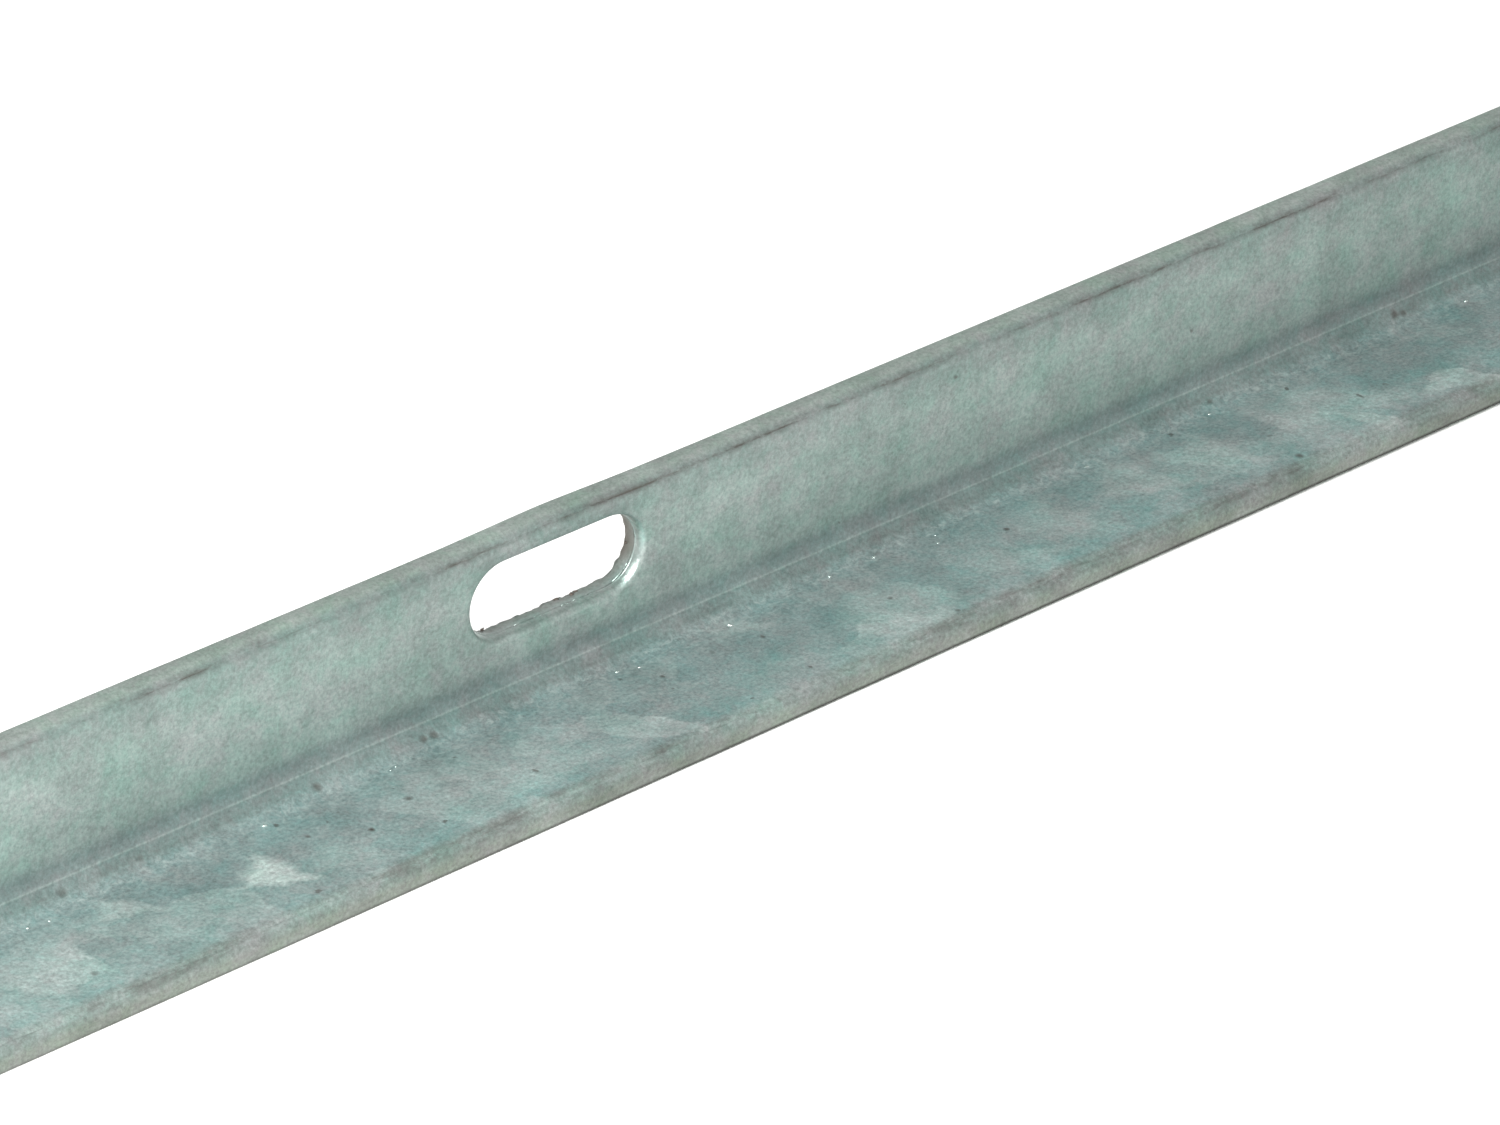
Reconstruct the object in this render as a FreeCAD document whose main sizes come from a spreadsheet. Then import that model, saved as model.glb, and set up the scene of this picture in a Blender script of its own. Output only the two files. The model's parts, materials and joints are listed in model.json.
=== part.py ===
"""Slotted angle: a length of hot-rolled, hot-dip galvanised equal steel angle.

The bar lies on one leg with the other leg standing at its back. A row of long slots
is punched through the standing leg. The bar's length runs along X, the standing leg's
outer face looks along +Y, and the lying leg's underside is the floor, Z = 0.
"""

import FreeCAD
import Part
import math
import os
import Sketcher

NODE = "slotted_angle"

# The sheet's cells: alias, value in millimetres (or a plain count), and what it is.
DIMENSIONS = [
    ("bar_length", 1000.0, "length of the bar"),
    ("leg_width", 30.0, "width of each leg over its outer face"),
    ("thickness", 4.0, "thickness of both legs"),
    ("root_radius", 5.0, "inner fillet where the legs meet"),
    ("toe_radius", 2.5, "rounding of each leg's inner edge at its toe"),
    ("heel_radius", 0.4, "rounding of the outer corner where the legs meet"),
    ("toe_edge_radius", 0.3, "rounding of each leg's outer edge at its toe"),
    ("slot_width", 12.0, "width of a slot, across the leg"),
    ("slot_length", 31.0, "length of a slot, end to end along the bar"),
    ("slot_height", 20.0, "height of the slots' centre line above the heel"),
    ("slot_pitch", 250.0, "distance between the centres of neighbouring slots"),
    ("slot_count", 4, "number of slots in the row"),
    ("punch_rollover", 0.8, "rounding of a slot's rim on the side the punch entered"),
]

ARC_ENDS = {"start": 1, "end": 2}
CENTRE_POINT = 3
SKETCH_ORIGIN = (-1, 1)
HORIZONTAL_AXIS = -1
VERTICAL_AXIS = -2


def make_sheet(doc):
    """Put the driving dimensions into a spreadsheet, one named cell a row."""
    sheet = doc.addObject("Spreadsheet::Sheet", "Dimensions")
    for row, (alias, value, meaning) in enumerate(DIMENSIONS, start=1):
        sheet.set(f"A{row}", meaning)
        sheet.set(f"B{row}", str(value))
        sheet.setAlias(f"B{row}", alias)
    doc.recompute()
    return sheet


def origin_plane(body, role):
    """Return one of the body's own origin planes, such as YZ_Plane."""
    return next(part for part in body.Origin.OriginFeatures if part.Role == role)


def new_sketch(body, name, plane_role):
    """Add an empty sketch that lies flat on one of the body's origin planes."""
    sketch = body.newObject("Sketcher::SketchObject", name)
    sketch.AttachmentSupport = [(origin_plane(body, plane_role), "")]
    sketch.MapMode = "FlatFace"
    return sketch


def bind(sketch, constraint, alias):
    """Tie a named constraint of the sketch to an expression of sheet cells."""
    sketch.setExpression(f"Constraints.{constraint}", alias)


def point(x, y):
    return FreeCAD.Vector(x, y, 0.0)


def corner_arc(x, y, radius, first_degrees, last_degrees):
    """A quarter arc about the centre (x, y), drawn anticlockwise."""
    circle = Part.Circle(point(x, y), FreeCAD.Vector(0, 0, 1), radius)
    return Part.ArcOfCircle(circle, math.radians(first_degrees), math.radians(last_degrees))


def draw_section(sketch, size):
    """Draw the closed section of the angle and tie it to the sheet.

    The sketch's x is the bar's Y and its y is the bar's Z. The heel is at
    (back, 0): the standing leg rises from it and the lying leg runs to -x.
    """
    leg = size["leg_width"]
    wall = size["thickness"]
    root = size["root_radius"]
    toe = size["toe_radius"]
    heel = size["heel_radius"]
    edge = size["toe_edge_radius"]
    back = leg / 2
    front = -leg / 2
    inner = back - wall

    outline = [
        Part.LineSegment(point(front + edge, 0), point(back - heel, 0)),
        corner_arc(back - heel, heel, heel, 270, 360),
        Part.LineSegment(point(back, heel), point(back, leg - edge)),
        corner_arc(back - edge, leg - edge, edge, 0, 90),
        Part.LineSegment(point(back - edge, leg), point(inner + toe, leg)),
        corner_arc(inner + toe, leg - toe, toe, 90, 180),
        Part.LineSegment(point(inner, leg - toe), point(inner, wall + root)),
        corner_arc(inner - root, wall + root, root, 270, 360),
        Part.LineSegment(point(inner - root, wall), point(front + toe, wall)),
        corner_arc(front + toe, wall - toe, toe, 90, 180),
        Part.LineSegment(point(front, wall - toe), point(front, edge)),
        corner_arc(front + edge, edge, edge, 180, 270),
    ]
    sketch.addGeometry(outline, False)

    (bottom, heel_arc, back_face, back_edge, top, top_toe, inner_face, root_arc,
     floor_face, floor_toe, toe_face, floor_edge) = range(len(outline))

    # Each joint is a line's end, an arc's end, and they meet tangentially.
    joints = [
        (bottom, "end", heel_arc, "start"),
        (heel_arc, "end", back_face, "start"),
        (back_face, "end", back_edge, "start"),
        (back_edge, "end", top, "start"),
        (top, "end", top_toe, "start"),
        (top_toe, "end", inner_face, "start"),
        (inner_face, "end", root_arc, "end"),
        (root_arc, "start", floor_face, "start"),
        (floor_face, "end", floor_toe, "start"),
        (floor_toe, "end", toe_face, "start"),
        (toe_face, "end", floor_edge, "start"),
        (floor_edge, "end", bottom, "start"),
    ]
    for first, first_end, second, second_end in joints:
        sketch.addConstraint(Sketcher.Constraint(
            "Tangent", first, ARC_ENDS[first_end], second, ARC_ENDS[second_end]))
    for line in (bottom, top, floor_face):
        sketch.addConstraint(Sketcher.Constraint("Horizontal", line))
    for line in (back_face, inner_face, toe_face):
        sketch.addConstraint(Sketcher.Constraint("Vertical", line))
    sketch.addConstraint(Sketcher.Constraint("PointOnObject", bottom, 1, HORIZONTAL_AXIS))

    radii = [
        (heel_arc, "heel_radius", heel),
        (back_edge, "toe_edge_radius", edge),
        (top_toe, "toe_radius", toe),
        (root_arc, "root_radius", root),
        (floor_toe, "toe_radius", toe),
        (floor_edge, "toe_edge_radius", edge),
    ]
    for arc, alias, radius in radii:
        name = f"radius_{arc}"
        row = sketch.addConstraint(Sketcher.Constraint("Radius", arc, radius))
        sketch.renameConstraint(row, name)
        bind(sketch, name, f"Dimensions.{alias}")

    distances = [
        ("DistanceX", SKETCH_ORIGIN + (back_face, 1), back, "back_place", "leg_width / 2"),
        ("DistanceX", (toe_face, 1) + SKETCH_ORIGIN, -front, "front_place", "leg_width / 2"),
        ("DistanceY", SKETCH_ORIGIN + (top, 1), leg, "top_place", "leg_width"),
        ("DistanceY", SKETCH_ORIGIN + (floor_face, 1), wall, "floor_wall", "thickness"),
        ("DistanceX", (inner_face, 1, back_face, 2), wall, "standing_wall", "thickness"),
    ]
    for kind, between, value, name, cells in distances:
        row = sketch.addConstraint(Sketcher.Constraint(kind, *between, value))
        sketch.renameConstraint(row, name)
        bind(sketch, name, cells.replace("leg_width", "Dimensions.leg_width")
             .replace("thickness", "Dimensions.thickness"))


def draw_slot(sketch, size):
    """Draw the first slot, the one nearest the bar's -X end.

    The sketch lies on the XZ plane, with the bar's X and Z as its x and y.
    """
    half_width = size["slot_width"] / 2
    half_straight = (size["slot_length"] - size["slot_width"]) / 2
    middle_x = -(size["slot_count"] - 1) * size["slot_pitch"] / 2
    middle_y = size["slot_height"]
    left = middle_x - half_straight
    right = middle_x + half_straight

    outline = [
        corner_arc(left, middle_y, half_width, 90, 270),
        Part.LineSegment(point(left, middle_y - half_width), point(right, middle_y - half_width)),
        corner_arc(right, middle_y, half_width, 270, 450),
        Part.LineSegment(point(right, middle_y + half_width), point(left, middle_y + half_width)),
    ]
    sketch.addGeometry(outline, False)
    left_end, lower, right_end, upper = range(len(outline))
    joints = [(left_end, lower), (lower, right_end), (right_end, upper), (upper, left_end)]
    for first, second in joints:
        sketch.addConstraint(Sketcher.Constraint(
            "Tangent", first, ARC_ENDS["end"], second, ARC_ENDS["start"]))
    sketch.addConstraint(Sketcher.Constraint("Horizontal", lower))

    half_row = "(Dimensions.slot_count - 1) * Dimensions.slot_pitch / 2"
    half_run = "(Dimensions.slot_length - Dimensions.slot_width) / 2"
    driven = [
        ("Radius", (left_end,), half_width, "slot_radius", "Dimensions.slot_width / 2"),
        ("DistanceX", (left_end, CENTRE_POINT) + SKETCH_ORIGIN, -left, "left_centre",
         f"{half_row} + {half_run}"),
        ("DistanceX", (left_end, CENTRE_POINT, right_end, CENTRE_POINT), right - left,
         "straight_run", "Dimensions.slot_length - Dimensions.slot_width"),
        ("DistanceY", SKETCH_ORIGIN + (left_end, CENTRE_POINT), middle_y, "slot_level",
         "Dimensions.slot_height"),
    ]
    for kind, between, value, name, cells in driven:
        row = sketch.addConstraint(Sketcher.Constraint(kind, *between, value))
        sketch.renameConstraint(row, name)
        bind(sketch, name, cells)


def inner_rim_edges(shape, size):
    """Names of the edges that run round the slots on the standing leg's inner face."""
    inner = size["leg_width"] / 2 - size["thickness"]
    highest = size["slot_height"] + size["slot_width"] / 2
    lowest = size["slot_height"] - size["slot_width"] / 2
    end = size["bar_length"] / 2
    close = 1e-4
    names = []
    for number, edge in enumerate(shape.Edges, start=1):
        box = edge.BoundBox
        on_face = abs(box.YMin - inner) < close and abs(box.YMax - inner) < close
        in_row = box.ZMin > lowest - close and box.ZMax < highest + close
        off_the_ends = box.XMin > -end + close and box.XMax < end - close
        if on_face and in_row and off_the_ends:
            names.append(f"Edge{number}")
    return names


def make_angle(doc, size):
    """Build the bar: pad the section, cut the slots, round the rims the punch entered."""
    body = doc.addObject("PartDesign::Body", "SlottedAngle")
    body.Label = NODE

    section = new_sketch(body, "SectionSketch", "YZ_Plane")
    draw_section(section, size)

    bar = body.newObject("PartDesign::Pad", "Bar")
    bar.Profile = section
    bar.SideType = "Symmetric"
    bar.setExpression("Length", "Dimensions.bar_length")
    doc.recompute()
    plain_volume = bar.Shape.Volume

    outline = new_sketch(body, "SlotSketch", "XZ_Plane")
    draw_slot(outline, size)

    slot = body.newObject("PartDesign::Pocket", "FirstSlot")
    slot.Profile = outline
    slot.Type = "ThroughAll"
    slot.Reversed = False
    doc.recompute()
    if abs(slot.Shape.Volume - plain_volume) < 1.0:
        slot.Reversed = True
        doc.recompute()

    row = body.newObject("PartDesign::LinearPattern", "SlotRow")
    row.Originals = [slot]
    row.Direction = (outline, ["H_Axis"])
    row.setExpression("Length", "(Dimensions.slot_count - 1) * Dimensions.slot_pitch")
    row.setExpression("Occurrences", "Dimensions.slot_count")
    body.Tip = row
    doc.recompute()

    rims = body.newObject("PartDesign::Fillet", "PunchRollover")
    rims.Base = (row, inner_rim_edges(row.Shape, size))
    rims.setExpression("Radius", "Dimensions.punch_rollover")
    body.Tip = rims
    doc.recompute()

    straight = size["slot_length"] - size["slot_width"]
    slot_area = straight * size["slot_width"] + math.pi * size["slot_width"] ** 2 / 4
    expected_cut = size["slot_count"] * slot_area * size["thickness"]
    real_cut = plain_volume - row.Shape.Volume
    if abs(real_cut - expected_cut) > 0.001 * expected_cut:
        raise RuntimeError(f"the slots cut {real_cut:.1f} mm3, not {expected_cut:.1f}")
    return body


def check(doc, parts):
    """Stop if any feature failed, or if a part isn't one valid solid."""
    for item in doc.Objects:
        if "Invalid" in item.State or "Error" in item.State:
            raise RuntimeError(f"{item.Name} failed: {item.State}")
    for part in parts:
        shape = part.Shape
        if shape.isNull() or not shape.isValid() or len(shape.Solids) != 1:
            raise RuntimeError(f"{part.Label} isn't one valid solid")


def main():
    doc = FreeCAD.newDocument("SlottedAngle")
    sheet = make_sheet(doc)
    size = {alias: float(sheet.get(alias)) for alias, _, _ in DIMENSIONS}
    size["slot_count"] = int(size["slot_count"])
    angle = make_angle(doc, size)
    check(doc, [angle])

    os.makedirs("parts", exist_ok=True)
    for part in [angle]:
        part.Shape.exportStep(f"parts/{part.Label}.step")
        box = part.Shape.BoundBox
        print(part.Label, f"volume {part.Shape.Volume:.1f} mm3,",
              f"{box.XLength:.2f} x {box.YLength:.2f} x {box.ZLength:.2f} mm,",
              f"{len(angle.Tip.Base[1])} rim edges rounded")


main()
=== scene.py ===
"""Studio model of a hot-dip galvanised slotted angle, laid on one leg."""

import functools
import json
import math

import bmesh
import bpy
import numpy as np
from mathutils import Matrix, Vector


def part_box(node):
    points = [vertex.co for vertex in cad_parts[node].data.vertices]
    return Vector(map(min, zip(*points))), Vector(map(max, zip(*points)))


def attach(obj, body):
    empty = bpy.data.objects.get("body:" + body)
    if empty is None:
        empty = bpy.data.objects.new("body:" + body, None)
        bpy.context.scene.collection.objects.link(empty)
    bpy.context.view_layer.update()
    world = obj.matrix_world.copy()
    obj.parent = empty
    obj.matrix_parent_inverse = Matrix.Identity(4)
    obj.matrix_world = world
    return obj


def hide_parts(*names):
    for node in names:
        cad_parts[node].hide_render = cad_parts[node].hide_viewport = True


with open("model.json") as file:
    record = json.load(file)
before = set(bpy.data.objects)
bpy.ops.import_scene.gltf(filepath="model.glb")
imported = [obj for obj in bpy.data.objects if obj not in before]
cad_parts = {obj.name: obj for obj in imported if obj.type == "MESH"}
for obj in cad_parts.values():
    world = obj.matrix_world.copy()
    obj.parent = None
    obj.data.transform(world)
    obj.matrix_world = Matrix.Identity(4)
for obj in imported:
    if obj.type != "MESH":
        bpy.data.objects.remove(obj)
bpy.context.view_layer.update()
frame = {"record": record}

bl_info = {
    "name": "Slotted angle",
    "version": (1, 0, 0),
    "blender": (4, 5, 0),
    "location": "3D View > Sidebar > Slotted Angle",
    "description": "A galvanised slotted angle with its zinc finish, and a plain studio for it",
    "category": "Add Mesh",
}

MM = 0.001
NODE = "slotted_angle"

LOW, HIGH = (np.array(corner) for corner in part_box(NODE))
SLOT_ROW = next(m for m in frame["record"]["mounts"] if m["name"] == "slots_left_pair")
SLOT_CENTRES = [
    (opening["box_m"][0][0] + opening["box_m"][1][0]) / 2
    for opening in frame["record"]["physics"]["openings"]
]
SLOT_LEVEL = SLOT_ROW["pos_m"][2]
SLOT_RADIUS = SLOT_ROW["dims"]["hole_r_mm"] * MM
SLOT_STRAIGHT = SLOT_ROW["dims"]["slot_length_mm"] * MM - 2 * SLOT_RADIUS
SHOWN_SLOT = SLOT_CENTRES[1]

# The soft key light's place and aim from the foot of the shown slot, and its width.
KEY_PLACE = (-0.5, -0.35, 0.6)
KEY_AIM = (0.04, 0, 0)
KEY_WIDTH = 0.5


# --- Sizes and colours ---------------------------------------------------------------


def linear(hex_colour):
    """Turn an sRGB hex colour such as "a0b0b0" into linear red, green and blue."""
    values = np.array([int(hex_colour[i:i + 2], 16) for i in (0, 2, 4)]) / 255
    straight = values / 12.92
    curved = ((values + 0.055) / 1.055) ** 2.4
    return tuple(float(v) for v in np.where(values <= 0.04045, straight, curved))


def length(name, description, millimetres):
    """A length property, given in millimetres and kept in metres."""
    return bpy.props.FloatProperty(
        name=name, description=description, default=millimetres * MM,
        min=0.0, precision=5, subtype="DISTANCE", unit="LENGTH")


def colour(name, description, hex_colour):
    """A colour property, given as sRGB hex and kept linear."""
    return bpy.props.FloatVectorProperty(
        name=name, description=description, default=linear(hex_colour),
        min=0.0, max=1.0, size=3, subtype="COLOR")


class SectionSizes(bpy.types.PropertyGroup):
    """Sizes of the rolled section that the frame's box doesn't give."""

    thickness: length("Thickness", "Wall thickness of both legs", 4.0)
    root_radius: length("Root radius", "Fillet between the legs", 5.0)
    toe_radius: length("Toe radius", "Rounding of each leg's inner edge", 2.5)
    edge_radius: length("Edge radius", "Softening of each leg's outer edge", 0.3)
    heel_radius: length("Heel radius", "Softening of the outer corner", 0.4)
    end_bevel: length("End bevel", "Softening of the sawn ends by the zinc", 0.25)
    seam_depth: length("Seam depth", "Depth of the rolling seam round each toe", 0.10)
    seam_width: length("Seam width", "Half width of that seam", 0.14)
    root_line_height: length("Root line height", "Height of the roll mark in the root", 0.045)
    root_line_width: length("Root line width", "Half width of that roll mark", 0.16)
    waviness: length("Waviness", "Unevenness of the rolled and dipped faces", 0.015)
    toe_lift: length("Toe lift", "Most that the lying leg's toe springs off the floor", 0.5)
    toe_gap: length("Toe gap", "Gap left under that toe by zinc runs beneath the leg", 0.05)
    lift_period: length("Lift period", "Length of bar over which the toe lifts and returns", 480.0)
    lift_start: length("Lift start", "Where the toe touches, before the shown slot", 95.0)


class SlotSizes(bpy.types.PropertyGroup):
    """Sizes of what the punch does round each slot."""

    rollover: length("Rollover", "Width of the rim rounded over by the punch", 0.95)
    rollover_depth: length("Rollover depth", "Depth of that rounding into the slot", 1.9)
    dish_depth: length("Dish depth", "How far the face sinks towards the rim", 0.20)
    dish_reach: length("Dish reach", "How far from the rim it sinks", 2.2)
    bulge: length("Edge bulge", "How far the leg's edge rises over a slot", 0.38)
    bulge_reach: length("Bulge reach", "Half length of that rise", 11.0)
    breakout: length("Breakout", "How much wider the slot is where the slug tore out", 0.15)
    tear: length("Tear", "Roughness of the torn edge", 0.12)
    window_margin: length("Window margin", "Face kept round a slot for its rim", 3.5)
    window_floor: length("Window floor", "Height of that face's lower border", 11.5)


class ZincColours(bpy.types.PropertyGroup):
    """Colours of the zinc coat; several carry painted shade, and one a painted shadow."""

    zinc: colour("Zinc", "Body of the coat on the standing leg", "97a5a0")
    # Painted shade: a darker zinc high on the standing leg, for the shade that falls on its upper
    # part.
    zinc_high_painted_shade: colour("High zinc", "Coat near the standing leg's toe", "879490")
    zinc_lying: colour("Lying zinc", "Body of the coat on the lying leg", "92a3a2")
    zinc_outer: colour("Outer zinc", "Coat on the outer half of the lying leg", "94a8a6")
    crystal: colour("Crystal", "Brightest spangle crystals", "d0dcd7")
    dull: colour("Dull zinc", "Alloyed zinc on the standing leg's toe", "95a19a")
    # Painted shadow: this near-black colour on the lying leg's bottom edge stands in for the shadow
    # in the gap under its toe.
    edge: colour("Edge", "Scale left on the leg's bottom edge", "282522")
    # Partly painted shade: the two toe colours below are dull zinc darkened further to stand in for
    # the shade round the lying leg's toe and on its end face.
    toe_round_dull_and_shade: colour("Dull round zinc", "Alloyed zinc round the lying leg's toe", "8d9b96")
    toe_face_dull_and_shade: colour("Dull low zinc", "Alloyed zinc on the lying leg's end face", "7b827b")
    # Painted shade: the darker coat at the root stands in for the shade in the corner between the
    # legs.
    root: colour("Root shade", "Coat at the root of the standing leg", "818e8c")
    # Painted shade: a darker greenish grey in the bottom of the root, for the shade in the fillet.
    root_floor_painted_shade: colour("Root brown", "Stained coat in the bottom of the root", "7c8c89")
    stain: colour("Stain", "Brown stain in seams and pits", "524b45")
    torn: colour("Torn steel", "Zinc over the torn slot wall", "6a625b")
    floor: colour("Floor", "Studio floor", "f6f6f4")


class StudioSizes(bpy.types.PropertyGroup):
    """Camera and light."""

    aim_along: length("Aim along", "Aim point's distance past the shown slot", 24.06)
    aim_level: length("Aim level", "Aim point's height", 19.40)
    aim_front: length("Aim front", "Aim point's distance in front of the bar's middle", 2.34)
    distance: length("Distance", "Camera's distance from its aim point", 1179.6)
    azimuth: bpy.props.FloatProperty(
        name="Azimuth", description="Camera's turn round the bar from straight in front",
        default=math.radians(40.695), subtype="ANGLE", unit="ROTATION")
    elevation: bpy.props.FloatProperty(
        name="Elevation", description="Camera's angle above the floor",
        default=math.radians(30.029), subtype="ANGLE", unit="ROTATION")
    lens: bpy.props.FloatProperty(
        name="Lens", description="Focal length in millimetres", default=200.34)
    floor_size: length("Floor size", "Side of the studio floor", 200000.0)
    sky: bpy.props.FloatProperty(
        name="Sky", description="Strength of the even white surround", default=0.66)
    key: bpy.props.FloatProperty(
        name="Key", description="Power of the soft key light in watts", default=14.0)


# --- Noise and meshes ----------------------------------------------------------------


def ripples(places, wavelength, seed, waves=18):
    """Smooth noise of about -2 to 2 and mean square 1.

    f(p) = sqrt(2 / n) * sum of sin(k_i . p + a_i), with n wave vectors k_i in random
    directions, of about 2 pi / wavelength each, and random phases a_i.
    """
    draw = np.random.default_rng(seed)
    directions = draw.normal(size=(places.shape[-1], waves))
    directions /= np.linalg.norm(directions, axis=0)
    vectors = directions * 2 * np.pi / (wavelength * draw.uniform(0.7, 1.4, waves))
    phases = draw.uniform(0, 2 * np.pi, waves)
    return np.sin(places @ vectors + phases).sum(axis=-1) * math.sqrt(2 / waves)


def bump(values, centre, width):
    """A bell of height 1: exp(-((v - centre) / width) ** 2)."""
    return np.exp(-(((values - centre) / width) ** 2))


def smooth_step(values, low, high):
    """0 below low and 1 above high, by 3 t^2 - 2 t^3 between."""
    share = np.clip((values - low) / (high - low), 0, 1)
    return share * share * (3 - 2 * share)


def add_piece(name, vertices, faces, materials, face_materials=None, smooth=True):
    """Make a mesh object from arrays, riding on the bar's one body."""
    mesh = bpy.data.meshes.new(name)
    mesh.from_pydata(vertices.tolist(), [], faces)
    for material in materials:
        mesh.materials.append(material)
    mesh.polygons.foreach_set("use_smooth", np.full(len(faces), smooth))
    if face_materials is not None:
        mesh.polygons.foreach_set("material_index", face_materials)
    mesh.validate()
    piece = bpy.data.objects.new(name, mesh)
    bpy.context.scene.collection.objects.link(piece)
    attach(piece, "root")
    return piece


# --- The rolled section --------------------------------------------------------------


def straight(start, end, parts):
    """Points of a straight run without its last: p = start + (end - start) * k / parts.

    Each row holds y, z and the outward normal, the run's direction turned right.
    """
    share = np.arange(parts)[:, None] / parts
    start, end = np.array(start, float), np.array(end, float)
    ahead = (end - start) / np.linalg.norm(end - start)
    normal = np.tile([ahead[1], -ahead[0]], (parts, 1))
    return np.hstack([start + (end - start) * share, normal])


def arc(centre, radius, degrees, outward=1):
    """Points of an arc without its last: p = centre + radius * (cos a, sin a)."""
    angle = np.radians(np.array(degrees, float)[:-1])
    ray = np.stack([np.cos(angle), np.sin(angle)], axis=1)
    return np.hstack([np.array(centre) + radius * ray, outward * ray])


# Degrees round a toe from the leg's inner face, closer together at the rolling seam,
# and round the root from the standing leg, closer together at the roll mark.
TOE_STEPS = np.array([0, 12, 22, 28, 31.5, 34.5, 37.5, 41, 50, 64, 78, 90])
SEAM_DEGREES = 34.5
ROOT_STEPS = np.array([0, 8, 16, 23, 27, 29.5, 32, 36, 44, 53, 62, 71, 80.5, 90])
ROOT_LINE_DEGREES = 29.5
EDGE_STEPS = np.array([0, 45, 90])
WINDOW_ROWS = 10


def section(sizes, slots):
    """The section's outline, once round with the steel on the left.

    Returns rows of y, z and outward normal, each row's distance round the section
    from the middle of the root (positive on the lying leg), the whole way round, and
    where the named runs start.
    """
    wall, root, toe = sizes.thickness, sizes.root_radius, sizes.toe_radius
    edge, heel = sizes.edge_radius, sizes.heel_radius
    back, front, top = HIGH[1], LOW[1], HIGH[2]
    inner = back - wall
    floor, ceiling = slots.window_floor, top - toe
    runs = {
        "bottom": straight((front + edge, 0), (back - heel, 0), 6),
        "heel": arc((back - heel, heel), heel, 270 + EDGE_STEPS),
        "back_lower": straight((back, heel), (back, floor), 3),
        "back_window": straight((back, floor), (back, ceiling), WINDOW_ROWS),
        "back_upper": straight((back, ceiling), (back, top - edge), 1),
        "back_edge": arc((back - edge, top - edge), edge, EDGE_STEPS),
        "top": straight((back - edge, top), (inner + toe, top), 2),
        "top_toe": arc((inner + toe, top - toe), toe, 180 - TOE_STEPS[::-1]),
        "inner_window": straight((inner, ceiling), (inner, floor), WINDOW_ROWS),
        "inner_lower": straight((inner, floor), (inner, wall + root), 2),
        "root": arc((inner - root, wall + root), root, -ROOT_STEPS, outward=-1),
        "floor_face": straight((inner - root, wall), (front + toe, wall), 12),
        "floor_toe": arc((front + toe, wall - toe), toe, 90 + TOE_STEPS),
        "toe_face": straight((front, wall - toe), (front, edge), 2),
        "floor_edge": arc((front + edge, edge), edge, 180 + EDGE_STEPS),
    }
    # The two windows share their heights exactly, so that the slot rims weld to both.
    runs["inner_window"][:, 1] = np.append(runs["back_window"][1:, 1], ceiling)[::-1]
    starts, outline = {}, []
    count = 0
    for name, run in runs.items():
        starts[name] = count
        count += len(run)
        outline.append(run)
    outline = np.vstack(outline)
    steps = np.linalg.norm(np.roll(outline[:, :2], -1, axis=0) - outline[:, :2], axis=1)
    around = np.concatenate([[0], np.cumsum(steps)])
    middle = around[starts["root"]] + root * math.pi / 4
    return outline, around[:-1] - middle, around[-1], starts


def window_half(slots):
    """Half length of the face that a slot's collar takes up, from the slot's centre."""
    return SLOT_STRAIGHT / 2 + SLOT_RADIUS + slots.window_margin


def stations(sizes, slots):
    """Places of the section along the bar, close together at the slots, and its inset.

    The inset pulls the section in at the two ends, where the zinc rounds the saw cut.
    """
    half = window_half(slots)
    bevel = sizes.end_bevel
    marks = [LOW[0] + bevel]
    for centre in SLOT_CENTRES:
        marks += [centre - half, centre + half]
    marks.append(HIGH[0] - bevel)
    runs = []
    for number, (start, end) in enumerate(zip(marks[:-1], marks[1:])):
        spacing = 0.5 * MM if number % 2 else 2.0 * MM
        parts = round((end - start) / spacing)
        runs.append(np.linspace(start, end, parts + 1)[:-1])
    middle = np.concatenate([*runs, [marks[-1]]])
    tips = np.array([0, 0.3]) * bevel
    x = np.concatenate([LOW[0] + tips, middle, HIGH[0] - tips[::-1]])
    inset = np.concatenate([[1, 0.35], np.zeros(len(middle)), [0.35, 1]]) * bevel
    return x, inset


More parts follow.
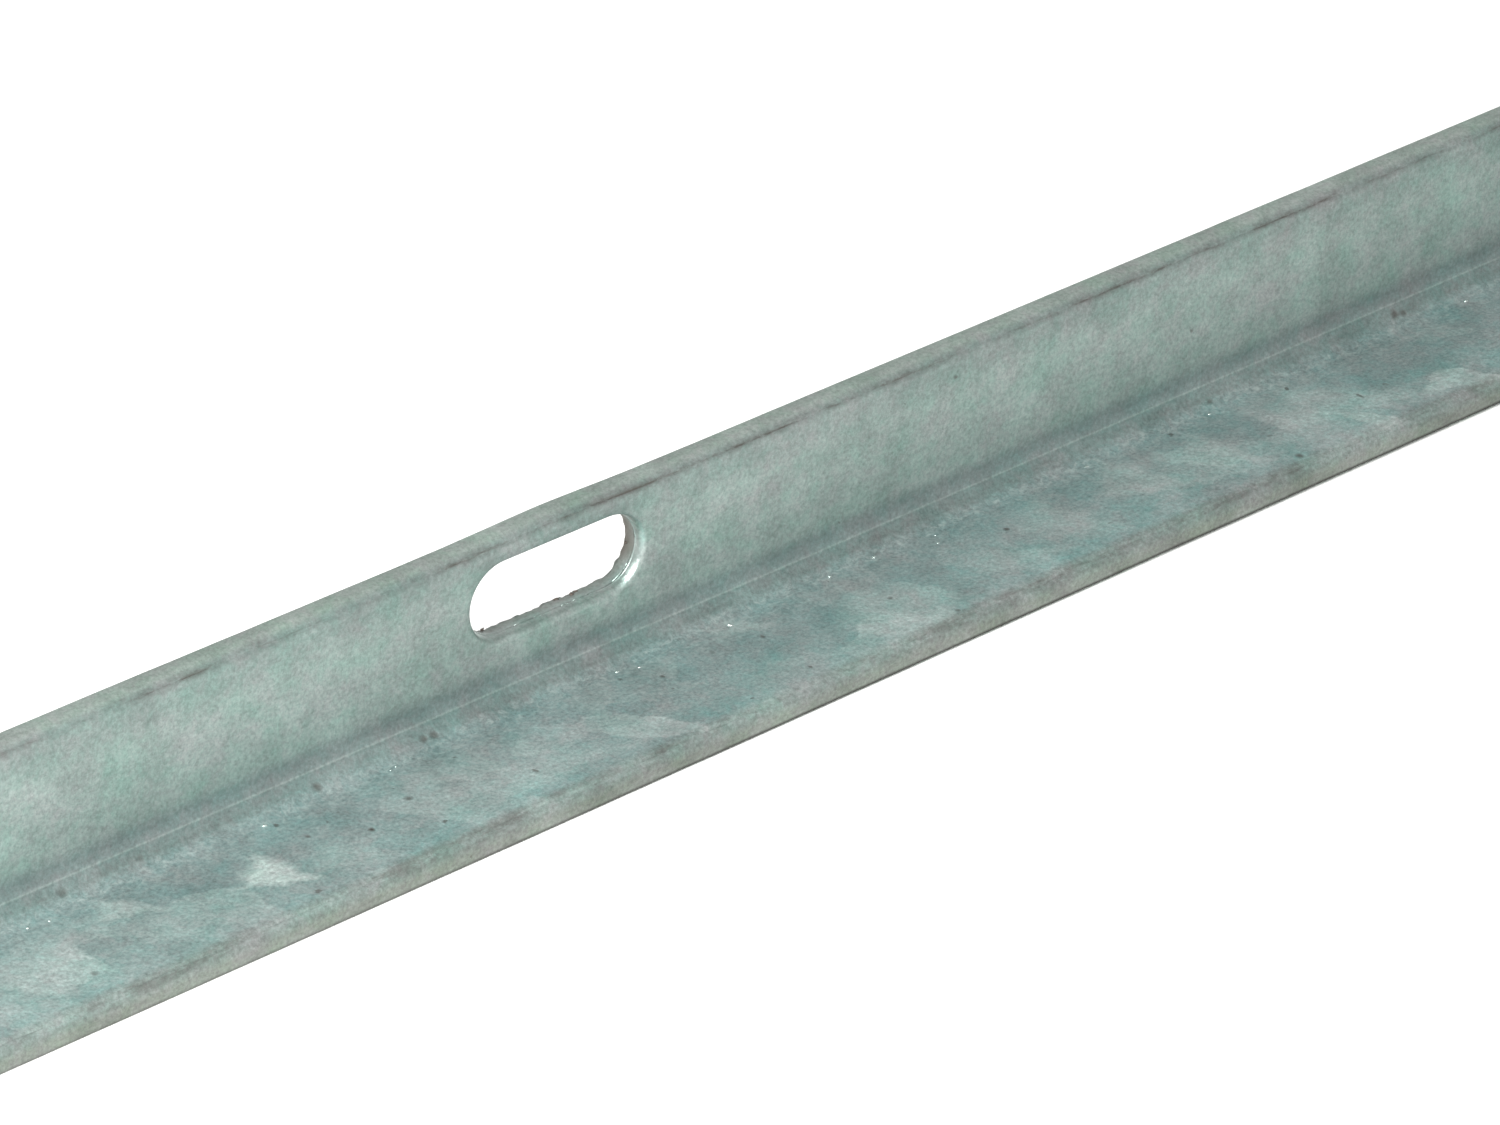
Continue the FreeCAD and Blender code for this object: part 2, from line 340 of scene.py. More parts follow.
def swept_bar(outline, around, whole, starts, x, inset, slots):
    """Carry the section along X, leaving a window in both faces at each slot.

    P(i, j) = (x_i, y_j, z_j) - inset_i * normal_j. Returns vertices, normals, the
    distance round the section, quads, and each quad corner's place on the unrolled bar.
    """
    count, rows = len(x), len(outline)
    shape = (count, rows)
    xx = np.broadcast_to(x[:, None], shape)
    flat = outline[None, :, :2] - inset[:, None, None] * outline[None, :, 2:]
    vertices = np.dstack([xx, flat[..., 0], flat[..., 1]]).reshape(-1, 3)
    normals = np.dstack([
        np.zeros(shape),
        np.broadcast_to(outline[:, 2], shape),
        np.broadcast_to(outline[:, 3], shape),
    ]).reshape(-1, 3)
    distance = np.broadcast_to(around, shape).reshape(-1)

    i, j = (g.ravel() for g in np.meshgrid(np.arange(count - 1), np.arange(rows), indexing="ij"))
    after = (j + 1) % rows
    quads = np.stack([i * rows + j, i * rows + after, (i + 1) * rows + after, (i + 1) * rows + j],
                     1)
    around_next = np.append(around[1:], around[0] + whole)
    corners = np.zeros((len(quads), 4, 3))
    corners[..., 0] = np.stack([x[i], x[i], x[i + 1], x[i + 1]], 1)
    corners[..., 1] = np.stack([around[j], around_next[j], around_next[j], around[j]], 1)

    half = window_half(slots)
    midway = (x[i] + x[i + 1]) / 2
    at_slot = np.any([abs(midway - centre) < half for centre in SLOT_CENTRES], axis=0)
    in_rows = np.zeros(len(j), bool)
    for name in ("inner_window", "back_window"):
        in_rows |= (j >= starts[name]) & (j < starts[name] + WINDOW_ROWS)
    keep = ~(at_slot & in_rows)
    return vertices, normals, distance, quads[keep], corners[keep]


# --- The punched slots ---------------------------------------------------------------

CORNER_DEGREES = 25  # where the window's corners meet the slot's end, above its middle


def rim(share_counts):
    """Points round the slot's outline, matched to the window's four sides.

    The outline is c + r (cos a, sin a): on the round ends a turns and the centre c
    stands, and on the straight sides a stands and c moves. Returns c, a and the
    distance round the outline.
    """
    turn = math.radians(90 - CORNER_DEGREES)
    end_turn = math.radians(2 * CORNER_DEGREES)
    arc_run, end_run = SLOT_RADIUS * turn, SLOT_RADIUS * end_turn
    steps = [0, arc_run, SLOT_STRAIGHT, arc_run, end_run, arc_run, SLOT_STRAIGHT, arc_run, end_run]
    knots = np.cumsum(steps)
    angles = math.radians(180 + CORNER_DEGREES) + np.cumsum(
        [0, turn, 0, turn, end_turn, turn, 0, turn, end_turn])
    half = SLOT_STRAIGHT / 2
    centres = np.array([-1, -1, 1, 1, 1, 1, -1, -1, -1]) * half
    side = 2 * arc_run + SLOT_STRAIGHT
    sides = [(0, side), (side, side + end_run), (side + end_run, 2 * side + end_run),
             (2 * side + end_run, 2 * (side + end_run))]
    along = np.concatenate([
        np.linspace(start, end, parts + 1)[:-1]
        for (start, end), parts in zip(sides, share_counts)])
    return np.interp(along, knots, centres), np.interp(along, knots, angles), along


def slot_collar(centre_x, columns, heights, inner_rows, back_rows, sizes, slots, seed):
    """A profile carried round one slot, from the inner face through to the back.

    Each profile starts on the window's border, runs in to the rim, turns over the
    rollover's quarter circle, goes down the wall, tears outwards and runs out over
    the back face to the same border.
    """
    low, high = heights[0], heights[-1]
    left, right = columns[0], columns[-1]
    border = np.vstack([
        np.column_stack([columns[:-1], np.full(len(columns) - 1, low)]),
        np.column_stack([np.full(len(heights) - 1, right), heights[:-1]]),
        np.column_stack([columns[:0:-1], np.full(len(columns) - 1, high)]),
        np.column_stack([np.full(len(heights) - 1, left), heights[:0:-1]]),
    ])
    sides = [len(columns) - 1, len(heights) - 1] * 2
    shift, angle, along = rim(sides)
    out = np.column_stack([np.cos(angle), np.sin(angle)])
    base = np.column_stack([centre_x + shift, np.full(len(angle), SLOT_LEVEL)]) + SLOT_RADIUS * out

    wall, round_off, round_depth = sizes.thickness, slots.rollover, slots.rollover_depth
    reach = 1.3 * MM
    flat_rows, turn_rows = 7, 8
    tear_start, wall_parts, tear_parts = 0.45 * wall, 3, 6
    inner_y, back_y = HIGH[1] - wall, HIGH[1]

    blend = np.array([0, 0.35, 0.6, 0.8, 0.92])
    turn = np.radians(np.linspace(0, 90, turn_rows))
    wall_depth = np.linspace(round_depth, tear_start, wall_parts + 1)[1:]
    torn = np.linspace(0, 1, tear_parts + 1)[1:]
    # Rows of the profile: share of the way in from the border, distance into the
    # steel from the rim, depth below the inner face, and how torn the wall is.
    ways = np.concatenate([
        blend, np.ones(2 + turn_rows + wall_parts + tear_parts + 3), blend[:0:-1], [0]])
    offset = np.concatenate([
        np.full(5, reach), [reach, (reach + round_off) / 2], round_off * (1 - np.sin(turn)),
        np.zeros(wall_parts), slots.breakout * torn ** 1.5,
        [slots.breakout + 0.12 * MM, slots.breakout + 0.35 * MM, reach], np.full(5, reach)])
    depth = np.concatenate([
        np.zeros(flat_rows), round_depth * (1 - np.cos(turn)), wall_depth,
        tear_start + (wall - tear_start) * torn, np.full(8, wall)])
    rough = np.concatenate([
        np.zeros(flat_rows + turn_rows + wall_parts), 0.35 + 0.65 * torn, [0.6, 0.15, 0],
        np.zeros(5)])
    punched = np.concatenate([
        np.zeros(flat_rows), np.linspace(0, 0.55, turn_rows), np.linspace(0.6, 0.8, wall_parts),
        0.8 + 0.2 * torn, [0.8, 0.3, 0], np.zeros(5)])

    # The punch leant towards the lower right, so the rim is rounded least at the
    # upper left.
    lean = 0.55 + 0.45 * smooth_step(0.6 * out[:, 0] - 0.8 * out[:, 1], -0.6, 0.5)
    offset = np.tile(offset, (len(along), 1))
    offset[:, flat_rows:flat_rows + turn_rows] *= lean[:, None]
    place = base[:, None, :] + offset[..., None] * out[:, None, :]
    # The torn stretch wanders most on the lower side, where the slug let go last.
    lower = 0.35 + 0.65 * smooth_step(-np.sin(angle), -0.1, 0.6)
    spot = np.stack(np.broadcast_arrays(along[:, None], depth[None, :]), axis=-1)
    wander = ripples(spot, 3.6 * MM, seed) * 0.8 + ripples(spot, 1.1 * MM, seed + 1) * 0.4
    wander = wander * slots.tear * rough[None, :] * lower[:, None]
    place = place + wander[..., None] * out[:, None, :]
    place = border[:, None, :] * (1 - ways)[None, :, None] + place * ways[None, :, None]
    y = np.broadcast_to(inner_y + depth, place.shape[:2]).copy()
    y[:, -1] = back_y
    # A burr stands on the last torn row and on the two rows beyond it.
    exit_row = flat_rows + turn_rows + wall_parts + tear_parts - 1
    burr = np.zeros(len(depth))
    burr[exit_row:exit_row + 3] = [0.10, 0.06, 0.02]
    lift = burr[None, :] * MM * (1 + 0.6 * ripples(along[:, None], 1.7 * MM, seed + 2))[:, None]
    y = y + np.clip(lift, 0, None)
    vertices = np.dstack([place[..., 0], y, place[..., 1]])

    flat_inner = np.broadcast_to((ways[None, :] < 1) & (depth[None, :] == 0), y.shape)
    normals = np.zeros(vertices.shape)
    normals[..., 1] = np.where(flat_inner, -1.0, 0.0)
    on_back = np.arange(len(depth)) >= len(depth) - 5
    normals[..., 1] = np.where(on_back[None, :], 1.0, normals[..., 1])

    level = place[..., 1]
    around = np.where(on_back[None, :], np.interp(level, heights, back_rows),
                      np.interp(level, heights, inner_rows) + depth[None, :])
    # The lower wall took the most zinc, so torn steel shows there only by the exit.
    coated = smooth_step(-np.sin(angle), 0.3, 0.9)[:, None]
    bare = 1 - coated * (0.6 - 0.36 * smooth_step(depth, 2.0 * MM, 2.8 * MM))[None, :]
    unrolled = np.dstack([place[..., 0], around, punched[None, :] * bare])

    count, rows = y.shape
    i, j = (g.ravel() for g in np.meshgrid(np.arange(count), np.arange(rows - 1), indexing="ij"))
    after = (i + 1) % count
    quads = np.stack([i * rows + j, after * rows + j, after * rows + j + 1, i * rows + j + 1], 1)
    flat_unrolled = unrolled.reshape(-1, 3)
    return (vertices.reshape(-1, 3), normals.reshape(-1, 3), around.reshape(-1), quads,
            flat_unrolled[quads])


def distance_to_slot(x, z, centre_x):
    """Distance from the slot's outline: |(|x| - half straight, z)| - r, negative inside."""
    beyond = np.clip(abs(x - centre_x) - SLOT_STRAIGHT / 2, 0, None)
    return np.hypot(beyond, z - SLOT_LEVEL) - SLOT_RADIUS


def relief(vertices, normals, around, seam_places, root_line, sizes, slots):
    """Everything that rolling, punching and dipping leave on the plain shape.

    The faces wave a little, a seam runs round each toe and a roll mark along the
    root, each slot's rim sinks on the punch side, and the edge over it bulges up.
    """
    moved = vertices.copy()
    x, y, z = vertices.T
    waves = ripples(vertices, 22 * MM, 11) * 0.6 + ripples(vertices, 7 * MM, 12) * 0.4
    height = sizes.waviness * waves
    patchy = np.clip(1 + 0.45 * ripples(x[:, None], 9 * MM, 13), 0.2, 2)
    for place in seam_places:
        wander = 0.10 * MM * ripples(x[:, None], 30 * MM, 14)
        height -= sizes.seam_depth * patchy * bump(around, place + wander, sizes.seam_width)
    height += sizes.root_line_height * patchy * bump(around, root_line, sizes.root_line_width)
    moved += normals * height[:, None]

    inner_y = HIGH[1] - sizes.thickness
    turn = math.pi * (x - SHOWN_SLOT + sizes.lift_start) / sizes.lift_period
    lift = sizes.toe_gap + sizes.toe_lift * np.sin(turn) ** 2
    moved[:, 2] += lift * np.clip((inner_y - y) / (inner_y - LOW[1]), 0, 1)
    punch_side = 1 - smooth_step(y, inner_y + 0.3 * MM, inner_y + 2 * MM)
    standing = z > sizes.thickness + sizes.root_radius
    for centre in SLOT_CENTRES:
        away = np.clip(distance_to_slot(x, z, centre), 0, None)
        sunk = slots.dish_depth * bump(away, 0, slots.dish_reach) * punch_side
        moved[:, 1] += np.where(standing, sunk, 0)
        over = smooth_step(z, HIGH[2] - 3.2 * MM, HIGH[2] - 0.5 * MM)
        moved[:, 2] += slots.bulge * bump(x, centre, slots.bulge_reach) * over
    return moved


def bar_mesh(sizes, slots):
    """Weld the swept bar and the slot collars, and close the ends."""
    outline, around, whole, starts = section(sizes, slots)
    x, inset = stations(sizes, slots)
    parts = [swept_bar(outline, around, whole, starts, x, inset, slots)]

    first, last = starts["back_window"], starts["back_window"] + WINDOW_ROWS
    heights = outline[first:last + 1, 1]
    back_rows = around[first:last + 1]
    inner_rows = around[starts["inner_window"]:starts["inner_window"] + WINDOW_ROWS + 1][::-1]
    half = window_half(slots)
    for number, centre in enumerate(SLOT_CENTRES):
        columns = x[(x > centre - half - 0.1 * MM) & (x < centre + half + 0.1 * MM)]
        parts.append(slot_collar(centre, columns, heights, inner_rows, back_rows,
                                 sizes, slots, seed=100 + 10 * number))

    rows = len(outline)
    caps = [np.arange(rows)[::-1], (len(x) - 1) * rows + np.arange(rows)]
    offsets = np.cumsum([0] + [len(part[0]) for part in parts[:-1]])
    vertices, normals, distance = (np.concatenate([part[k] for part in parts]) for k in range(3))
    quads = np.concatenate([part[3] + offset for part, offset in zip(parts, offsets)])
    corners = np.concatenate([part[4] for part in parts])

    _, keep, merged = np.unique(vertices.round(9), axis=0, return_index=True, return_inverse=True)
    merged = merged.ravel()
    toe_run = sizes.toe_radius * math.radians(SEAM_DEGREES)
    flat = (HIGH[2] - sizes.toe_radius) - (sizes.thickness + sizes.root_radius)
    seam = sizes.root_radius * math.pi / 4 + flat + toe_run
    root_line = sizes.root_radius * (math.radians(ROOT_LINE_DEGREES) - math.pi / 4)
    vertices = relief(vertices[keep], normals[keep], distance[keep], (-seam, seam), root_line,
                      sizes, slots)
    faces = merged[quads].tolist() + [merged[cap].tolist() for cap in caps]
    cap_corners = np.zeros((sum(len(cap) for cap in caps), 3))
    cap_corners[:, 0] = vertices[np.concatenate([merged[cap] for cap in caps]), 0]
    unrolled = np.concatenate([corners.reshape(-1, 3), cap_corners])
    return vertices, faces, unrolled


# --- Zinc crumbs and beads -----------------------------------------------------------


def pebble_shape():
    """Points and triangles of a unit ball with 80 faces."""
    ball = bmesh.new()
    bmesh.ops.create_icosphere(ball, subdivisions=2, radius=1.0)
    points = np.array([vertex.co[:] for vertex in ball.verts])
    faces = np.array([[vertex.index for vertex in face.verts] for face in ball.faces])
    ball.free()
    return points, faces


def pebbles(centres, radii, seed):
    """Lumps: c + r * u * (1 + 0.22 f(u)), u on the unit ball, f noise within 1.5."""
    points, faces = pebble_shape()
    count = len(centres)
    spread = points[None] + 10.0 * np.arange(count)[:, None, None]
    lumps = 1 + 0.22 * np.clip(ripples(spread, 1.6, seed), -1.5, 1.5)
    vertices = centres[:, None, :] + radii[:, None, :] * points[None] * lumps[..., None]
    all_faces = faces[None] + len(points) * np.arange(count)[:, None, None]
    return vertices.reshape(-1, 3), all_faces.reshape(-1, 3).tolist()


# --- Materials -----------------------------------------------------------------------


def node(tree, kind, inputs=None, stops=(), **settings):
    """Add a node with its settings, values and links.

    inputs maps a socket's name or number to a value, a socket or a node, and stops
    are a ramp's pairs of position and grey level or colour.
    """
    made = tree.nodes.new(kind)
    for name, value in settings.items():
        setattr(made, name, value)
    for key, value in (inputs or {}).items():
        if isinstance(value, bpy.types.Node):
            value = value.outputs[0]
        if isinstance(value, bpy.types.NodeSocket):
            tree.links.new(value, made.inputs[key])
        else:
            made.inputs[key].default_value = value
    for number, (position, level) in enumerate(stops):
        elements = made.color_ramp.elements
        element = elements[number] if number < len(elements) else elements.new(position)
        element.position = position
        element.color = (*level, 1) if isinstance(level, tuple) else (level, level, level, 1)
    return made


def new_material(name):
    """An empty material with its shader and output."""
    material = bpy.data.materials.new(name)
    material.use_nodes = True
    tree = material.node_tree
    tree.nodes.clear()
    shader = node(tree, "ShaderNodeBsdfPrincipled")
    node(tree, "ShaderNodeOutputMaterial", {"Surface": shader})
    return material, tree, shader


# Crystals that froze slowly enough to stand out, as places past the shown slot and
# round the section from the root, turn in degrees, length and width, all in
# millimetres, and strength.
FLAKES = [
    (-66.0, 10.5, 50, 13.0, 12.0, 0.90),
    (-88.0, 5.0, 36, 15.0, 7.5, 0.50),
    (-17.5, 8.8, 62, 8.5, 8.0, 0.38),
    (24.0, 3.0, 31, 12.0, 8.0, 0.30),
    (-34.0, 14.5, 10, 40.0, 15.0, 0.30),
    (42.0, 9.0, 40, 24.0, 16.0, 0.32),
    (64.0, 13.0, 24, 22.0, 10.0, 0.28),
    (80.0, 6.5, 55, 20.0, 15.0, 0.28),
    (95.0, 6.5, 44, 22.0, 15.0, 0.36),
    (111.0, 8.0, 55, 18.0, 14.0, 0.34),
    (129.0, 8.0, 30, 32.0, 20.0, 0.32),
    (-57.0, 14.0, 38, 16.0, 11.0, 0.28),
    (-108.0, 14.0, 22, 28.0, 16.0, 0.28),
]

# Single dark pits and dross marks: places past the shown slot and round the section,
# width, all in millimetres, and strength.
DARK_PITS = [
    (-45.9, 13.8, 1.0, 0.90), (-96.3, 18.2, 1.2, 0.50), (-36.9, 10.8, 1.2, 0.60),
    (-53.7, 9.5, 0.7, 0.60), (5.9, 5.2, 0.7, 0.60), (20.5, 8.2, 0.8, 0.35),
    (76.0, 9.3, 0.9, 0.80), (49.8, 13.2, 0.8, 0.55), (54.8, 22.2, 0.8, 0.55),
    (123.4, 21.9, 1.2, 0.70), (75.0, -20.6, 0.7, 0.75), (122.4, -11.3, 0.7, 0.60),
    (-88.8, 0.4, 1.5, 0.50), (-75.5, 0.2, 1.3, 0.40), (-45.4, 1.2, 1.4, 0.60),
    (-26.3, 0.8, 1.2, 0.60), (-24.6, 0.9, 1.2, 0.60), (124.4, 1.2, 1.2, 0.60),
    (163.8, 0.4, 1.5, 0.70), (165.4, 0.7, 1.2, 0.60),
]


def frozen_wedge(add, place, along, around, degrees, long, wide):
    """A crystal that narrows from its root to its tip.

    With u from 0 to 1 along it and v across it in widths, it is where
    min(u, (1 - u) / 2 - |v|) is above 0.
    """
    local = add("ShaderNodeMapping", {
        "Vector": place, "Location": (SHOWN_SLOT + along * MM, around * MM, 0),
        "Rotation": (0, 0, math.radians(degrees)), "Scale": (long * MM, wide * MM, 1),
    }, vector_type="TEXTURE")
    parts = add("ShaderNodeSeparateXYZ", {0: local})
    across = add("ShaderNodeMath", {0: parts.outputs[1]}, operation="ABSOLUTE")
    half = add("ShaderNodeMath", {0: parts.outputs[0], 1: -0.5, 2: 0.5}, operation="MULTIPLY_ADD")
    inside = add("ShaderNodeMath", {0: half, 1: across}, operation="SUBTRACT")
    inside = add("ShaderNodeMath", {0: inside, 1: parts.outputs[0]}, operation="MINIMUM")
    return add("ShaderNodeMapRange", {"Value": inside, "From Min": 0.0, "From Max": 0.16})


def noise_2d(detail, roughness):
    """Settings shared by the patterns on the unrolled surface."""
    return {"Scale": 1.0, "Detail": detail, "Roughness": roughness}


def spangle(add, place, across):
    """How much bright crystal shows, 0 to 1.

    Feathered crystals about 13 mm by 7 mm slant towards the toe, with a few larger
    ones, and show most on the outer half of the lying leg.
    """
    slant = add("ShaderNodeMapping", {"Vector": place, "Rotation": (0, 0, math.radians(-42))})
    cells_map = add("ShaderNodeMapping",
                    {"Vector": slant, "Scale": (1 / (13 * MM), 1 / (7 * MM), 0)})
    cells = add("ShaderNodeTexVoronoi", {"Vector": cells_map, "Scale": 1.0, "Smoothness": 0.15},
                voronoi_dimensions="2D", feature="SMOOTH_F1")
    level = add("ShaderNodeSeparateColor", {0: cells.outputs["Color"]})
    tone = add("ShaderNodeValToRGB", {0: level.outputs[0]}, [
        (0.0, 0.0), (0.45, 0.06), (0.62, 0.35), (0.78, 0.55), (0.93, 1.0)])
    feather_map = add("ShaderNodeMapping",
                      {"Vector": slant, "Scale": (1 / (5 * MM), 1 / (0.8 * MM), 0)})
    feather = add("ShaderNodeTexNoise", {"Vector": feather_map, **noise_2d(4.0, 0.65)},
                  noise_dimensions="2D")
    feather_tone = add("ShaderNodeValToRGB", {0: feather}, [(0.3, 0.55), (0.65, 1.0)])
    shown = add("ShaderNodeValToRGB", {0: across}, [
        (at(-30), 0.30), (at(-26), 0.30), (at(-25), 0.10), (at(-5), 0.08), (at(3), 0.06),
        (at(8), 0.55), (at(13), 1.0), (at(22.3), 1.0), (at(24.5), 0.25), (at(28), 0.2)])
    amount = add("ShaderNodeMath", {0: tone, 1: shown}, operation="MULTIPLY")
    amount = add("ShaderNodeMath", {0: amount, 1: 0.5}, operation="MULTIPLY")
    for along, around, degrees, long, wide, strength in FLAKES:
        wedge = frozen_wedge(add, place, along, around, degrees, long, wide)
        wedge = add("ShaderNodeMath", {0: wedge, 1: strength}, operation="MULTIPLY")
        amount = add("ShaderNodeMath", {0: amount, 1: wedge}, operation="MAXIMUM")
    return add("ShaderNodeMath", {0: amount, 1: feather_tone}, operation="MULTIPLY")


def body_colour(add, across, colours):
    """Tone of the coat round the section, with dull toes; the darker tones high on the standing
    leg, in the root and round the lying leg's toe are painted shade, and a thin light line on the
    roll mark is a painted highlight.
    """
    # The darker stops high on the standing leg, in the root and round the lying leg's toe are
    # painted shade; the zinc stop between the two root stops is a thin painted highlight on the
    # roll mark.
    stops = [
        (-30, "dull"), (-25.3, "dull"), (-24.3, "zinc_high_painted_shade"), (-22.6, "zinc_high_painted_shade"),
        (-17.5, "zinc"), (-5.4, "zinc"), (-3.3, "root"), (-1.52, "root"), (-1.36, "zinc"),
        (-1.2, "root_floor_painted_shade"), (0.4, "root_floor_painted_shade"), (3.2, "zinc_lying"), (12, "zinc_lying"),
        (16, "zinc_outer"), (22.0, "zinc_outer"), (23.6, "toe_round_dull_and_shade"), (24.6, "toe_round_dull_and_shade"),
        (26.2, "toe_face_dull_and_shade"), (30, "toe_face_dull_and_shade")]
    return add("ShaderNodeValToRGB", {0: across}, [
        (at(place), tuple(getattr(colours, name))) for place, name in stops])


def stains(add, place, warped, across):
    """Where brown stain shows, 0 to 1, and where the pits are.

    It lies in the rolling seams and the root, broken into streaks, and in scattered
    pits.
    """
    line = add("ShaderNodeValToRGB", {0: across}, [
        (at(-25.2), 0.0), (at(-24.2), 0.45), (at(-23.93), 0.9), (at(-23.65), 0.35),
        (at(-23.0), 0.0),
        (at(-1.2), 0.0), (at(0.2), 0.26), (at(1.8), 0.0),
        (at(22.3), 0.0), (at(23.4), 0.42), (at(24.4), 0.52), (at(25.6), 0.18), (at(27.5), 0.15)])
    streak_map = add("ShaderNodeMapping",
                     {"Vector": place, "Scale": (1 / (8 * MM), 1 / (1.8 * MM), 0)})
    streaks = add("ShaderNodeTexNoise", {"Vector": streak_map, **noise_2d(6.0, 0.75)},
                  noise_dimensions="2D")
    patch_map = add("ShaderNodeMapping",
                    {"Vector": place, "Scale": (1 / (45 * MM), 1 / (25 * MM), 0)})
    patches = add("ShaderNodeTexNoise", {"Vector": patch_map, **noise_2d(2.0, 0.5)},
                  noise_dimensions="2D")
    share = add("ShaderNodeMath", {0: streaks, 1: 0.6}, operation="MULTIPLY")
    share = add("ShaderNodeMath", {0: patches, 1: 0.4, 2: share}, operation="MULTIPLY_ADD")
    streak_tone = add("ShaderNodeValToRGB", {0: share}, [(0.42, 0.04), (0.50, 0.35), (0.60, 1.0)])
    stain = add("ShaderNodeMath", {0: line, 1: streak_tone}, operation="MULTIPLY")

    pits = add("ShaderNodeTexVoronoi", {"Vector": warped, "Scale": 1 / (6 * MM)},
               voronoi_dimensions="2D", feature="F1")
    chance = add("ShaderNodeSeparateColor", {0: pits.outputs["Color"]})
    where = add("ShaderNodeValToRGB", {0: across}, [(at(-3), 0.90), (at(3), 1.0)])
    size = add("ShaderNodeMath", {0: chance.outputs[0], 1: where}, operation="MULTIPLY")
    size = add("ShaderNodeMapRange", {"Value": size, "From Min": 0.82, "From Max": 1.0,
                                      "To Min": -0.02, "To Max": 0.085})
    depth = add("ShaderNodeMath", {0: size, 1: pits.outputs["Distance"]}, operation="SUBTRACT")
    pit = add("ShaderNodeMapRange", {"Value": depth, "From Min": -0.015, "From Max": 0.03,
                                     "To Min": 0.0, "To Max": 0.6})
    nudged = add("ShaderNodeVectorMath", {0: warped, 1: place}, operation="SUBTRACT")
    nudged = add("ShaderNodeVectorMath", {0: nudged, 1: (0.3,) * 3, 2: place},
                 operation="MULTIPLY_ADD")
    for along, around, wide, strength in DARK_PITS:
        centre = (SHOWN_SLOT + along * MM, around * MM, 0)
        away = add("ShaderNodeVectorMath", {0: nudged, 1: centre}, operation="DISTANCE")
        spot = add("ShaderNodeMapRange",
                   {"Value": away.outputs["Value"], "From Min": 0.7 * wide * MM,
                                          "From Max": 0.2 * wide * MM, "To Max": strength})
        pit = add("ShaderNodeMath", {0: pit, 1: spot}, operation="MAXIMUM")
    return add("ShaderNodeMath", {0: stain, 1: pit}, operation="MAXIMUM"), pit


